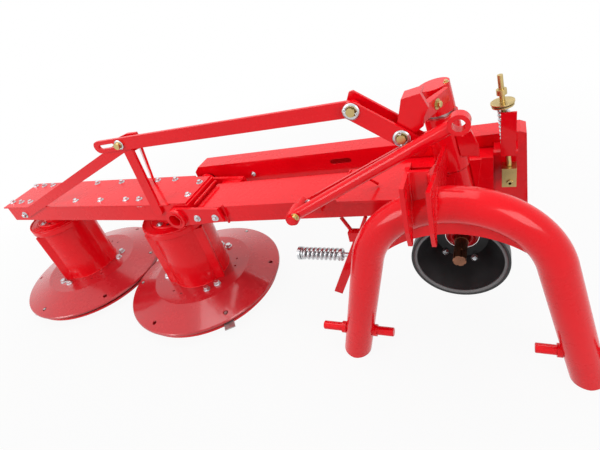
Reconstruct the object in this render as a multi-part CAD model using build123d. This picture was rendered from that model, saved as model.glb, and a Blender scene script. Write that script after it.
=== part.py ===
from build123d import *
import math
import os

# Two-drum rotary mower on a three-point hitch arch, in millimetres.
# +X runs from the outer drum towards the hitch, +Y away from the tractor, +Z up.
# The drawing frame has its origin on the floor under the inner drum; every node is
# moved at the end so that the origin is the middle of the footprint.

# Cutting unit
DRUM_PITCH = 675.0
DRUM_X = {"inner": 0.0, "outer": -DRUM_PITCH}
DISC_R = 333.0
DISC_RIM_Z = 55.0
DISC_STEP_R = 212.0
DISC_STEP_Z = 98.0
DISC_WALL = 5.0
DISC_HOLE_CIRCLE_R = 300.0
DISC_HOLE_R = 9.0
FOOT_HOLE_CIRCLE_R = 156.0
FOOT_HOLE_R = 4.5
DRUM_R = 120.0
DRUM_WALL = 5.0
DRUM_TOP_Z = 362.0
RIB_TIP_R = 143.0
RIB_HALF_WIDTH = 24.0
CAP_R = 137.0
CAP_RIM_Z = 358.0
CAP_LIP_Z = 384.0
CAP_DISC_R = 99.0
CAP_NECK_R = 62.0
CAP_TOP_Z = 425.0
SKID_R = 318.0
SKID_TOP_Z = 32.0
SHAFT_R = 24.0
KNIFE_TIP_R = 364.0
KNIFE_Z = 45.0
CUT_BEAM = dict(x0=-830.0, x1=178.0, y0=-95.0, y1=85.0, z0=425.0, z1=495.0)
CUT_WALL = 5.0
COVER_T = 5.0
COVER_LIP = 9.0

# Hinge between the cutting unit and the main beam, axis along Y
HINGE_X = 118.0
HINGE_Z = 448.0
HINGE_PIN_R = 27.0
HINGE_PIN_BORE = 23.0
HINGE_BORE_R = 27.06
HINGE_BOSS_R = 38.0

# Main beam, drawn level and then turned up about the cutter hinge
BEAM_RISE = 2.6
BEAM = dict(x0=202.0, x1=905.0, y0=-90.0, y1=70.0, z0=407.0, z1=470.0)
BEAM_WALL = 6.0

# Swing axis of the head: it leans away from upright so that the mower lifts as it folds back
SWING_LEAN = 9.0
SWING_X = 1018.0
SWING_Y = 30.0
SWING_Z = 718.0

# Tilt axis between the head and the main beam, along Y
TILT_X = 962.0
TILT_Z = 462.0
TILT_PIN_R = 15.0

# Hitch arch
ARCH_X = 1064.0
ARCH_Y = -234.0
ARCH_TUBE_R = 44.0
ARCH_WALL = 5.0
ARCH_LEG_LEAN = 14.0
ARCH_FOOT_HALF = 325.0
ARCH_BEND_R = 232.0
ARCH_CROWN_Z = 577.0
HITCH_PIN_Z = 98.0
HITCH_PIN_R = 14.0
HITCH_COLLAR_R = 19.0
# Each hitch pin crosses a leg: its ends and its two collars, by their distance from the arch's middle
PIN_ENDS = (192.0, 422.0)
PIN_COLLARS = ((244.0, 258.0), (344.0, 358.0))

# Belt drive
INPUT_X = 1070.0
INPUT_Z = 355.0
SHAFT_END_R = 17.4
SHAFT_JOURNAL_R = 18.94
DRIVE_PULLEY_R = 85.0
DRIVEN_PULLEY_R = 42.5
PULLEY_Y0 = 150.0
PULLEY_Y1 = 205.0
GUARD_Y0 = 140.0
GUARD_Y1 = 215.0

# Lifting linkage, all in the plane y = LINK_Y
LINK_Y = -117.0
LEVER_PIVOT = (951.0, 704.0)
LEVER_TIP = (839.0, 785.0)
LEVER_HEEL_ARM = 45.0
LINK_FOOT = (653.0, 507.0)
APEX = (43.0, 752.0)
LINK_PIN_R = 11.0

# Swinging head
PIVOT_R = 30.0
PIVOT_BORE_R = 30.06
PIVOT_TUBE_R = 44.5
HEAD_CAP_R = 41.0
CAP_LID_Z = 766.0
CAP_LID_T = 9.0
HEAD_BOSS_R = 38.0

# Belt tensioner: its rod leans from the foot to the top
TENS_Y = 100.0
TENS_FOOT = (1190.0, 478.0)
TENS_TOP = (1165.0, 744.0)

# Transport rod, parked along the front of the linkage
LOCK_ROD_Y = -168.0
LOCK_ROD_FOOT = (618.0, 498.0)
LOCK_ROD_EYE = (1086.0, 749.0)
LOCK_ROD_R = 16.0
LOCK_ROD_WALL = 3.0
LOCK_SLEEVE_R = 21.0
LOCK_RING_R = 24.5
LOCK_RING_BORE = 14.5


def beyond(start, pivot, reach):
    """The point that lies past the pivot, on the line from start, at a distance."""
    run = math.dist(start, pivot)
    return tuple(p + (p - s) * reach / run for s, p in zip(start, pivot))


LEVER_HEEL = beyond(LEVER_TIP, LEVER_PIVOT, LEVER_HEEL_ARM)


def box(x0, x1, y0, y1, z0, z1):
    """A block between two corners."""
    return Pos((x0 + x1) / 2, (y0 + y1) / 2, (z0 + z1) / 2) * Box(x1 - x0, y1 - y0, z1 - z0)


def plate_y(points, y0, y1):
    """A plate cut to an outline of (x, z) points, from y0 to y1."""
    face = make_face(Plane.XZ * Polyline(*points, close=True))
    return Pos(0, y0, 0) * extrude(face, amount=y1 - y0, dir=(0, 1, 0))


def plate_x(points, x0, x1):
    """A plate cut to an outline of (y, z) points, from x0 to x1."""
    face = make_face(Plane.YZ * Polyline(*points, close=True))
    return Pos(x0, 0, 0) * extrude(face, amount=x1 - x0, dir=(1, 0, 0))


def rod(start, end, radius, bore=0.0):
    """A round bar or tube between two points."""
    start, end = Vector(*start), Vector(*end)
    along = end - start
    plane = Plane(origin=start, z_dir=along)
    section = plane * Circle(radius)
    if bore:
        section -= plane * Circle(bore)
    return extrude(section, amount=along.length, dir=along)


def rod_y(x, z, y0, y1, radius, bore=0.0):
    """A round bar or tube along Y."""
    return rod((x, y0, z), (x, y1, z), radius, bore)


def flat_bar(start, end, width, y0, y1, eyes=(0.0, 0.0)):
    """A flat bar with round ends between two (x, z) points, with an eye at each end."""
    (x0, z0), (x1, z1) = start, end
    run = math.hypot(x1 - x0, z1 - z0)
    angle = math.degrees(math.atan2(z1 - z0, x1 - x0))
    outline = SlotCenterToCenter(run, width)
    if eyes[0]:
        outline -= Pos(-run / 2, 0) * Circle(eyes[0])
    if eyes[1]:
        outline -= Pos(run / 2, 0) * Circle(eyes[1])
    at = Plane(origin=((x0 + x1) / 2, y0, (z0 + z1) / 2), x_dir=(1, 0, 0), z_dir=(0, -1, 0))
    return extrude(at * (Rot(0, 0, angle) * outline), amount=y1 - y0, dir=(0, 1, 0))


def strap(start, end, width, thick):
    """A straight rectangular bar between two points, its width as upright as it goes."""
    start, end = Vector(*start), Vector(*end)
    along = (end - start).normalized()
    side = along.cross(Vector(0, 0, 1)).normalized()
    section = Plane(origin=start, x_dir=side, z_dir=along) * Rectangle(thick, width)
    return extrude(section, amount=(end - start).length, dir=along)


def turned(points, x, y=0.0):
    """A solid of revolution about the vertical at (x, y), from (radius, z) points."""
    face = make_face(Plane.XZ * Polyline(*points, close=True))
    return Pos(x, y, 0) * revolve(face, Axis.Z)


def along_swing(z):
    """The point of the swing axis at a height."""
    return (SWING_X - (z - SWING_Z) * math.tan(math.radians(SWING_LEAN)), SWING_Y, z)


def raised(shape):
    """Turn a piece that was drawn level with the main beam up to the beam's rise."""
    here = Pos(HINGE_X, 0, HINGE_Z)
    return here * Rot(0, -BEAM_RISE, 0) * here.inverse() * shape


def hollow_box(size, wall):
    """A rectangular tube along X, with a plate welded over each end."""
    inner = box(size["x0"] + wall, size["x1"] - wall, size["y0"] + wall, size["y1"] - wall,
                size["z0"] + wall, size["z1"] - wall)
    return box(**size) - inner


NODES = {}


def node(name, *solids):
    """Keep the solids of one node under its name."""
    NODES[name] = Compound(children=[s for shape in solids for s in shape.solids()])


# Cutting unit: drums, discs, knives and skid dishes
def disc_profile():
    """Half section of a cutting disc: flat crown, sloping skirt and turned-down rim."""
    w = DISC_WALL
    return [(SHAFT_R + 4, DISC_STEP_Z), (DISC_STEP_R, DISC_STEP_Z), (DISC_R - 3, DISC_RIM_Z + 4),
            (DISC_R, DISC_RIM_Z), (DISC_R, DISC_RIM_Z - 6), (DISC_R - w, DISC_RIM_Z - 6),
            (DISC_R - w - 3, DISC_RIM_Z - 1), (DISC_STEP_R - 2, DISC_STEP_Z - w),
            (SHAFT_R + 4, DISC_STEP_Z - w)]


def drum_profile():
    """Half section of a drum: an open tube."""
    return [(DRUM_R - DRUM_WALL, DISC_STEP_Z), (DRUM_R, DISC_STEP_Z), (DRUM_R, DRUM_TOP_Z),
            (DRUM_R - DRUM_WALL, DRUM_TOP_Z)]


def drum_rib():
    """One folded rib up the drum's side, that carries the cut grass along."""
    section = make_face(Polyline((DRUM_R - 3, -RIB_HALF_WIDTH), (RIB_TIP_R, -3), (RIB_TIP_R, 3),
                                 (DRUM_R - 3, RIB_HALF_WIDTH), close=True))
    height = CAP_RIM_Z - 6 - DISC_STEP_Z
    return Pos(0, 0, DISC_STEP_Z) * extrude(section, amount=height, dir=(0, 0, 1))


def skid_profile():
    """Half section of a skid dish: flat sole, rounded up to its edge."""
    t = SKID_TOP_Z
    return [(SHAFT_R + 8, 0), (230, 0), (285, 8), (SKID_R, t - 9), (SKID_R, t), (SKID_R - 5, t),
            (SKID_R - 5, t - 6), (283, 14), (228, 6), (SHAFT_R + 8, 6)]


def cap_profile():
    """Half section of the fixed cap over a drum: short rim, flat lid with a raised disc, and neck."""
    lid = CAP_LIP_Z
    return [(SHAFT_R - 2, lid - 7), (CAP_R - 8, lid - 7), (CAP_R - 7, CAP_RIM_Z), (CAP_R - 1, CAP_RIM_Z),
            (CAP_R, CAP_RIM_Z + 2), (CAP_R, lid - 5), (CAP_R - 5, lid), (CAP_DISC_R + 5, lid),
            (CAP_DISC_R + 2, lid - 3), (CAP_DISC_R, lid - 3), (CAP_DISC_R, lid + 5), (CAP_DISC_R - 3, lid + 8),
            (CAP_NECK_R + 6, lid + 8), (CAP_NECK_R, lid + 14), (CAP_NECK_R, CAP_TOP_Z), (SHAFT_R - 2, CAP_TOP_Z)]


def knife(x, turn, swing):
    """One knife hung from a stud in a disc's hole, and swung back about that stud."""
    blade = box(-14, KNIFE_TIP_R - DISC_HOLE_CIRCLE_R, -20, 20, KNIFE_Z - 5, KNIFE_Z - 1)
    blade = Rot(0, 0, swing) * blade
    nut = Pos(0, 0, KNIFE_Z - 1) * Cylinder(12, 8, align=(Align.CENTER, Align.CENTER, Align.MIN))
    stud = Pos(0, 0, KNIFE_Z) * Cylinder(6, 26, align=(Align.CENTER, Align.CENTER, Align.MIN))
    return Pos(x, 0, 0) * Rot(0, 0, turn) * Pos(DISC_HOLE_CIRCLE_R, 0, 0) * (blade + nut + stud)


# Three knives a drum, where each hangs and how far it has swung back, both in degrees. The drums
# turn against each other, and the two sets never come to the middle together.
KNIVES = {"inner": [(-43, -10), (77, -82), (197, -82)],
          "outer": [(22, 0), (142, -82), (262, -82)]}
RIB_LEAD = {"inner": 26, "outer": -6}

for side, x in DRUM_X.items():
    here = Pos(x, 0, 0)
    first = KNIVES[side][0][0]
    drum = turned(drum_profile(), x)
    disc = turned(disc_profile(), x)
    for turn in range(0, 360, 60):
        hole = Pos(DISC_HOLE_CIRCLE_R, 0, 40) * Cylinder(DISC_HOLE_R, 100)
        disc -= here * Rot(0, 0, first + turn) * hole
    for turn in range(0, 360, 120):
        drum += here * Rot(0, 0, first + RIB_LEAD[side] + turn) * drum_rib()
        for aside in (-8.5, 8.5):
            hole = Pos(FOOT_HOLE_CIRCLE_R, 0, 80) * Cylinder(FOOT_HOLE_R, 100)
            disc -= here * Rot(0, 0, first + 60 + turn + aside) * hole
    hub = turned([(SHAFT_R + 0.5, 62), (60, 62), (60, 93), (SHAFT_R + 0.5, 93)], x)
    blades = [knife(x, turn, swing) for turn, swing in KNIVES[side]]
    axle = turned([(0, 0.5), (SHAFT_R + 7.5, 0.5), (SHAFT_R + 7.5, 5.5), (SHAFT_R, 5.5),
                   (SHAFT_R, CAP_TOP_Z), (0, CAP_TOP_Z)], x)
    node(f"drum_{side}", drum)
    node(f"disc_{side}", disc)
    node(f"knives_{side}", *[blade - disc for blade in blades], hub)
    node(f"skid_dish_{side}", turned(skid_profile(), x))
    node(f"drum_cap_{side}", turned(cap_profile(), x) + axle)

node("cutter_beam", hollow_box(CUT_BEAM, CUT_WALL))

# Stays of the A-frame: two on the front face of the cutter beam, one on its rear edge
FRONT = CUT_BEAM["y0"]
stay_outer = flat_bar((-722.0, 462.0), (APEX[0] - 6, APEX[1] - 14), 38, FRONT - 10, FRONT)
stay_inner = flat_bar((34.0, 472.0), (APEX[0] + 4, APEX[1] - 20), 40, FRONT - 10, FRONT) - stay_outer
apex_plate = plate_y([(APEX[0] - 26, 700), (APEX[0] + 62, 725), (APEX[0] + 62, 775), (APEX[0] + 20, 775),
                      (APEX[0] - 20, 765)], FRONT + 0.2, FRONT + 10)
stay_rear = strap((APEX[0] + 44, FRONT + 12, APEX[1] - 16), (-100, CUT_BEAM["y1"] - 14, 512), 36, 8)
stay_rear -= box(-400, 400, -200, 200, 400, CUT_BEAM["z1"] + COVER_T)
node("stay_outer", stay_outer)
node("stay_inner", stay_inner)
node("stay_rear", stay_rear, apex_plate - stay_rear)
lip_cut = Compound(children=[*stay_outer.solids(), *stay_inner.solids()])
node("cover_plate", box(CUT_BEAM["x0"] - COVER_LIP, CUT_BEAM["x1"] - 10, CUT_BEAM["y0"] - COVER_LIP,
                        CUT_BEAM["y1"] + COVER_LIP, CUT_BEAM["z1"], CUT_BEAM["z1"] + COVER_T)
     - box(95, 200, -150, CUT_BEAM["y0"], 450, 550) - box(95, 200, CUT_BEAM["y1"], 150, 450, 550) - lip_cut)

# Hinge pins stand out of the cutter beam's two sides
HINGE_PINS = {"front": (-128.0, CUT_BEAM["y0"]), "rear": (CUT_BEAM["y1"], 132.0)}
node("hinge_pins", *[rod_y(HINGE_X, HINGE_Z, y0, y1, HINGE_PIN_R, HINGE_PIN_BORE)
                     for y0, y1 in HINGE_PINS.values()])

# Main beam with its hinge arms, in the raised frame
node("main_beam", raised(hollow_box(BEAM, BEAM_WALL)))
head_plate = Plane.XY * make_face(Polyline((735, -112), (925, -118), (925, 85), (735, 72), close=True))
node("beam_top_plate", raised(Pos(0, 0, BEAM["z1"]) * extrude(head_plate, amount=8, dir=(0, 0, 1))))
# Each hinge arm: plate from and to, boss from and to, then the beam face that its pad meets
ARMS = [dict(plate=(-112.0, -100.0), boss=(-125.0, -100.0), pad=(-100.0, BEAM["y0"])),
        dict(plate=(90.0, 102.0), boss=(90.0, 130.0), pad=(BEAM["y1"], 90.0))]
ARM_OUTLINE = [(HINGE_X + 4, HINGE_Z + HINGE_BOSS_R), (306, 475), (313, 424),
               (HINGE_X + 10, HINGE_Z - HINGE_BOSS_R + 2)]
arms = []
for arm in ARMS:
    bar = plate_y(ARM_OUTLINE, *arm["plate"])
    pad = box(215, 300, *arm["pad"], 430, 468)
    boss = rod_y(HINGE_X, HINGE_Z, *arm["boss"], HINGE_BOSS_R)
    arms.append(raised(bar + pad + boss - rod_y(HINGE_X, HINGE_Z, -150, 150, HINGE_BORE_R)))
node("hinge_arms", *arms)

# Belt guard and drive box, carried behind the main beam
cover = plate_y([(62, 430), (150, 395), (955, 395), (975, 216), (1238, 216), (1238, 504), (1222, 512),
                 (84, 512), (62, 492)], GUARD_Y0, GUARD_Y1)
hollow = plate_y([(70, 380), (150, 380), (960, 380), (980, 221), (1232, 221), (1232, 500), (1220, 506),
                  (88, 506), (68, 488)], GUARD_Y0 + 4, GUARD_Y1 - 4)
slot = flat_bar((648, 476), (706, 476), 18, GUARD_Y0 - 5, GUARD_Y0 + 10)
guard = cover - hollow - slot
shaft_hole = rod_y(INPUT_X - 5, 312, GUARD_Y0 - 5, GUARD_Y0 + 10, 40)
hinge_hole = rod_y(HINGE_X, HINGE_Z, GUARD_Y0 - 5, GUARD_Y0 + 10, 32)
node("belt_guard", raised(guard - shaft_hole - hinge_hole))
drive_box = box(990, 1150, 74, 134, 300, 520) + box(840, 995, 74, 134, 440, 500)
drive_box += plate_y([(1087, 520), (1119, 520), (1107, 420), (1101, 420)], 66, 75)
node("drive_box", drive_box - rod_y(INPUT_X, INPUT_Z, 70, 140, 30))
node("input_housing", rod_y(INPUT_X, INPUT_Z, -70, 73.5, 45, 19))
spline_gap = box(-2, 2, -185, -150, 15.2, 20)
spline_gaps = Compound(children=[Rot(0, turn, 0) * spline_gap for turn in range(15, 375, 60)])
stub = rod_y(0, 0, -180, -102, SHAFT_END_R) - spline_gaps
shaft = stub + rod_y(0, 0, -102, 76, SHAFT_JOURNAL_R) + rod_y(0, 0, 76, 208, SHAFT_END_R)
node("input_shaft", Pos(INPUT_X, 0, INPUT_Z) * shaft)
bowl = revolve(make_face(Plane.XY * Polyline((46, -70), (46, -76), (70, -76), (112, -178), (125, -182), (125, -150),
                                             (119, -148), (119, -172), (114, -172), (76, -70), close=True)), Axis.Y)
node("shaft_guard", Pos(INPUT_X, 0, INPUT_Z) * bowl)


def pulley(x, z, radius, bore, grooves=3):
    """A V-belt pulley: a rim with grooves on a hub."""
    pitch = (PULLEY_Y1 - PULLEY_Y0) / grooves
    outline = [(bore, PULLEY_Y0)]
    for g in range(grooves):
        y = PULLEY_Y0 + g * pitch
        outline += [(radius, y), (radius, y + 3), (radius - 12, y + pitch * 0.4), (radius - 12, y + pitch * 0.6),
                    (radius, y + pitch - 3), (radius, y + pitch)]
    outline += [(bore, PULLEY_Y1)]
    clean = [p for i, p in enumerate(outline) if i == 0 or p != outline[i - 1]]
    return Pos(x, 0, z) * revolve(make_face(Plane.XY * Polyline(*clean, close=True)), Axis.Y)


node("drive_pulley", pulley(INPUT_X, INPUT_Z, DRIVE_PULLEY_R, 17.5))
node("driven_pulley", pulley(HINGE_X, HINGE_Z, DRIVEN_PULLEY_R, 0.0))

# Belt tensioner in front of the guard's right end
def tensioner_at(z):
    """The point of the leaning tensioner rod at a height."""
    share = (z - TENS_FOOT[1]) / (TENS_TOP[1] - TENS_FOOT[1])
    return (TENS_FOOT[0] + share * (TENS_TOP[0] - TENS_FOOT[0]), TENS_Y, z)


def tensioner_part(z0, z1, radius, bore=0.0):
    """A round piece on the tensioner rod, between two heights."""
    return rod(tensioner_at(z0), tensioner_at(z1), radius, bore)


node("tensioner_bracket", box(1150, 1212, 78, 139, 524, 534) - tensioner_part(515, 545, 9),
     box(1168, 1206, 70, 76, 534, 652) + box(1168, 1206, 70, 78, 524, 534))
node("tensioner_rod", tensioner_part(478, 744, 7), tensioner_part(660, 664, 28, 7),
     tensioner_part(668, 672, 30, 7), tensioner_part(692, 706, 13, 7))
node("tensioner_spring", tensioner_part(537, 659, 16, 10))
clevis = (box(1172, 1210, TENS_Y - 20, TENS_Y + 20, 417, 477.5)
          - box(1160, 1220, TENS_Y - 10, TENS_Y + 10, 410, 460)) - rod_y(1193, 431, TENS_Y - 30, TENS_Y + 30, 9)
node("tensioner_clevis", clevis, rod_y(1193, 431, TENS_Y - 24, TENS_Y + 24, 9, 4))

# Break-away device under the main beam's right end
RELEASE_Y = -75.0
RELEASE_Z = 270.0
hanger = box(735, 785, RELEASE_Y - 12, RELEASE_Y + 12, 335, 371)
legs = [rod((722, RELEASE_Y, 422), (748, RELEASE_Y, 365), 6), rod((800, RELEASE_Y, 425), (772, RELEASE_Y, 365), 6)]
node("release_hanger", hanger + legs[0] + legs[1])
release_lever = strap((762, RELEASE_Y, 335), (650, RELEASE_Y - 10, 105), 30, 14)
release_rod = rod((530, RELEASE_Y, RELEASE_Z), (748, RELEASE_Y, RELEASE_Z), 8)
node("release_rod", release_rod + rod((538, RELEASE_Y, RELEASE_Z), (548, RELEASE_Y, RELEASE_Z), 23))
node("release_lever", release_lever - hanger - rod((500, RELEASE_Y, RELEASE_Z), (800, RELEASE_Y, RELEASE_Z), 8.0))
node("release_spring", rod((549, RELEASE_Y, RELEASE_Z), (698, RELEASE_Y, RELEASE_Z), 22, 16))

# Transport rod, parked
foot, eye = LOCK_ROD_FOOT, LOCK_ROD_EYE
y = LOCK_ROD_Y
tube = rod((foot[0], y, foot[1]), (eye[0], y, eye[1]), LOCK_ROD_R, LOCK_ROD_R - LOCK_ROD_WALL)
tube -= rod_y(*foot, y - 40, y + 40, LOCK_SLEEVE_R) + rod_y(*eye, y - 40, y + 40, LOCK_RING_R)
node("transport_rod", tube, rod_y(*foot, y - 20, y + 34, LOCK_SLEEVE_R, 14.06),
     rod_y(*eye, y - 20, y + 8, LOCK_RING_R, LOCK_RING_BORE))
main_beam = NODES["main_beam"].solids()[0]
lug = raised(box(590, 680, -107, -90, 440, 470)) - rod_y(*foot, -200, 0, 14)
node("beam_lug", lug, rod_y(*foot, LOCK_ROD_Y - 30, -90, 14) - main_beam)

# Hook rod leaning on the main beam
node("hook_rod", rod((845, -40, 518), (812, -60, 560), 4) + rod((812, -60, 560), (850, -70, 610), 4))

# Lifting linkage
LEVER_PLATES = ((LINK_Y - 18, LINK_Y - 10), (LINK_Y + 12, LINK_Y + 20))
lever_bores = [rod_y(*at, LINK_Y - 40, LINK_Y + 40, LINK_PIN_R + 0.06) for at in (LEVER_TIP, LEVER_PIVOT)]
lever_front, lever_rear = [flat_bar(LEVER_TIP, LEVER_HEEL, 46, *span) for span in LEVER_PLATES]
lever_rear += plate_y([(821, 798), (832, 822), (842, 824), (960, 738), (948, 715)], *LEVER_PLATES[1])
node("lever", *[plate - lever_bores[0] - lever_bores[1] for plate in (lever_front, lever_rear)])
node("lever_tip_pin", rod_y(*LEVER_TIP, LINK_Y - 28, LINK_Y + 30, LINK_PIN_R))
node("lever_pivot_pin", rod_y(*LEVER_PIVOT, LINK_Y - 28, LINK_Y + 30, LINK_PIN_R))
node("flat_link", flat_bar(LINK_FOOT, (938, 653), 34, LINK_Y - 3, LINK_Y + 5))
bar = flat_bar((APEX[0] - 95, APEX[1] - 4), LEVER_TIP, 42, LINK_Y - 5, LINK_Y + 5, (0, LINK_PIN_R + 0.06))
bar_slot = flat_bar((APEX[0] - 88, APEX[1] - 4), (APEX[0] - 30, APEX[1] - 1), 15, LINK_Y - 10, LINK_Y + 10)
node("long_bar", bar - bar_slot)
node("apex_pin", rod_y(*APEX, LINK_Y - 20, LINK_Y - 5.5, LINK_PIN_R))

# Head that swings in the hitch frame
def swing_rod(z0, z1, radius, bore=0.0):
    """A round piece on the leaning swing axis, between two heights."""
    return rod(along_swing(z0), along_swing(z1), radius, bore)


node("pivot_shaft", swing_rod(412, CAP_LID_Z - CAP_LID_T, PIVOT_R))
ARM_Y = (LINK_Y - 8, LINK_Y + 8)
arm = plate_y([(930, 690), (932, 722), (946, 750), (958, 797), (1002, 806), (1018, 770), (1006, 748), (1003, 726),
               (985, 712), (962, 686)], *ARM_Y)
bend = make_face(Polyline((992, ARM_Y[0]), (1004, ARM_Y[0]), (1052, -8), (1042, -4), (985, ARM_Y[1]), close=True))
arm += Pos(0, 0, 733) * extrude(bend, amount=36, dir=(0, 0, 1))
arm += plate_y([(956, 790), (958, 797), (1002, 806), (1004, 800)], ARM_Y[0], -74)
arm -= rod_y(*LEVER_PIVOT, LINK_Y - 40, LINK_Y + 40, LINK_PIN_R + 0.06)
cap = swing_rod(696, CAP_LID_Z, HEAD_CAP_R) + arm - swing_rod(600, CAP_LID_Z - CAP_LID_T, PIVOT_R)
node("pivot_cap", cap)
block = box(1000, 1052, -12, 66, 428, 514) + swing_rod(430, 524, HEAD_BOSS_R)
nose = box(945, 1000, -44, 44, 440, 486) + rod_y(TILT_X - 6, TILT_Z, -44, 44, 26)
tilt_bore = rod_y(TILT_X, TILT_Z, -90, 90, TILT_PIN_R + 0.06)
node("head_block", block + nose - swing_rod(400, 540, PIVOT_BORE_R) - tilt_bore)
node("tilt_pin", rod_y(TILT_X, TILT_Z, -68, 68, TILT_PIN_R))
end_plate = raised(box(BEAM["x1"], BEAM["x1"] + 10, BEAM["y0"], BEAM["y1"], BEAM["z0"], BEAM["z1"]))
forks = [flat_bar((TILT_X, TILT_Z), (900, 466), 50, y0, y1) for y0, y1 in ((-62, -50), (50, 62))]
behind = raised(box(700, BEAM["x1"] + 5, -200, 200, 300, 600))
node("beam_fork", end_plate + (forks[0] - behind) + (forks[1] - behind) - tilt_bore)

# Hitch frame
def arch_path():
    """Centre line of the arch: leg, half turn on the bend radius, leg."""
    lean = math.radians(ARCH_LEG_LEAN)
    zc = ARCH_CROWN_Z - ARCH_BEND_R
    spring = (ARCH_BEND_R * math.cos(lean), zc + ARCH_BEND_R * math.sin(lean))
    left = [(ARCH_X - ARCH_FOOT_HALF, ARCH_Y, 0), (ARCH_X - spring[0], ARCH_Y, spring[1])]
    right = [(ARCH_X + spring[0], ARCH_Y, spring[1]), (ARCH_X + ARCH_FOOT_HALF, ARCH_Y, 0)]
    crown = (ARCH_X, ARCH_Y, ARCH_CROWN_Z)
    return Wire([Line(*left), ThreePointArc(left[1], crown, right[0]), Line(*right)])


path = arch_path()
arch_solid = sweep(Plane(origin=path @ 0, z_dir=path % 0) * Circle(ARCH_TUBE_R), path=path)
arch_bore = sweep(Plane(origin=path @ 0, z_dir=path % 0) * Circle(ARCH_TUBE_R - ARCH_WALL), path=path)
floor = box(500, 1600, -400, 0, -60, 0)
foot_plate = box(500, 1600, -400, 0, 0, 6)
(in0, in1), (out0, out1) = PIN_COLLARS
end0, end1 = PIN_ENDS
pin_r, collar_r = HITCH_PIN_R, HITCH_COLLAR_R
pin_outline = [(end0, 0), (end0, pin_r - 2), (end0 + 2, pin_r), (in0, pin_r), (in0, collar_r), (in1, collar_r),
               (in1, pin_r), (out0, pin_r), (out0, collar_r), (out1, collar_r), (out1, pin_r), (end1 - 2, pin_r),
               (end1, pin_r - 2), (end1, 0)]
right_pin = Pos(ARCH_X, ARCH_Y, HITCH_PIN_Z) * revolve(make_face(Polyline(*pin_outline, close=True)), Axis.X)
hitch_pins = [mirror(right_pin, about=Plane.YZ.offset(ARCH_X)), right_pin]
node("hitch_pins", *hitch_pins)
node("hitch_arch", arch_solid - (arch_bore - foot_plate) - floor - hitch_pins[0] - hitch_pins[1])
web_outer = Pos(ARCH_X, ARCH_CROWN_Z - ARCH_BEND_R) * Circle(ARCH_BEND_R - 10)
web_inner = Pos(ARCH_X, 226) * Circle(267)
below = Pos(ARCH_X, 150) * Rectangle(700, 440)
web = Pos(0, ARCH_Y - 4, 0) * extrude(Plane.XZ * (web_outer - web_inner - below), amount=8, dir=(0, 1, 0))
web -= arch_solid
node("arch_web", web)

# Cheeks for the top link, with the panel between them and the deck that carries the pivot tube
CHEEK_Y0 = -322.0
HOLE_Y = -302.0
HOLE_Z = (652.0, 604.0, 538.0)
nose = [(CHEEK_Y0, 560), (HOLE_Y - 8, 512), (HOLE_Y, 508), (HOLE_Y + 8, 512), (-282, 545), (-230, 560)]
left = plate_x([(-230, 679), (CHEEK_Y0, 679)] + nose, 972, 982)
right = plate_x([(-14, 545), (-14, 612), (CHEEK_Y0, 668)] + nose + [(-186, 545)], 1026, 1036)
holes = Compound(children=[rod((940, HOLE_Y, z), (1060, HOLE_Y, z), 10) for z in HOLE_Z])
node("cheek_left", left - holes - arch_solid)
node("cheek_right", right - holes - arch_solid - web - swing_rod(500, 720, PIVOT_TUBE_R))
node("head_panel", box(982, 1026, -256, -246, 590, 680) - arch_solid)
deck = make_face(Polyline((958, -200), (1036, -200), (1036, -14), (1060, 20), (1000, 20), (958, -100), close=True))
deck = Pos(0, 0, 530) * extrude(deck, amount=11, dir=(0, 0, 1)) - swing_rod(500, 560, PIVOT_TUBE_R) - arch_solid
node("head_deck", deck - right)
node("pivot_tube", swing_rod(530, 686, PIVOT_TUBE_R, PIVOT_BORE_R))
ring_plate = plate_y([(1061, 640), (1080, 633), (1099, 647), (1117, 599), (1118, 572), (1072, 575)], -8, 2)
node("ring_bracket", ring_plate - swing_rod(500, 720, PIVOT_TUBE_R))


def write_parts():
    """Move every node to the footprint's middle and write it to its own file."""
    os.makedirs("parts", exist_ok=True)
    boxes = [shape.bounding_box() for shape in NODES.values()]
    mid_x = (min(b.min.X for b in boxes) + max(b.max.X for b in boxes)) / 2
    mid_y = (min(b.min.Y for b in boxes) + max(b.max.Y for b in boxes)) / 2
    low_z = min(b.min.Z for b in boxes)
    for name, shape in NODES.items():
        export_step(Pos(-mid_x, -mid_y, -low_z) * shape, f"parts/{name}.step")
    print(len(NODES), "nodes, shift", round(-mid_x, 3), round(-mid_y, 3), round(-low_z, 3))


write_parts()
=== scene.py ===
# %% [markdown]
# # A two-drum mower, dressed for the camera
# The mower hangs at one side of a three-point hitch arch: two cutting drums under a box beam,
# a main beam that carries them, and a belt guard behind. Its shape is already fixed by the CAD
# model, so this file only loads it, paints it and adds what is too small or too fiddly for the
# solids: bolt heads, washers, weld beads, spring coils and split pins.

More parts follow.
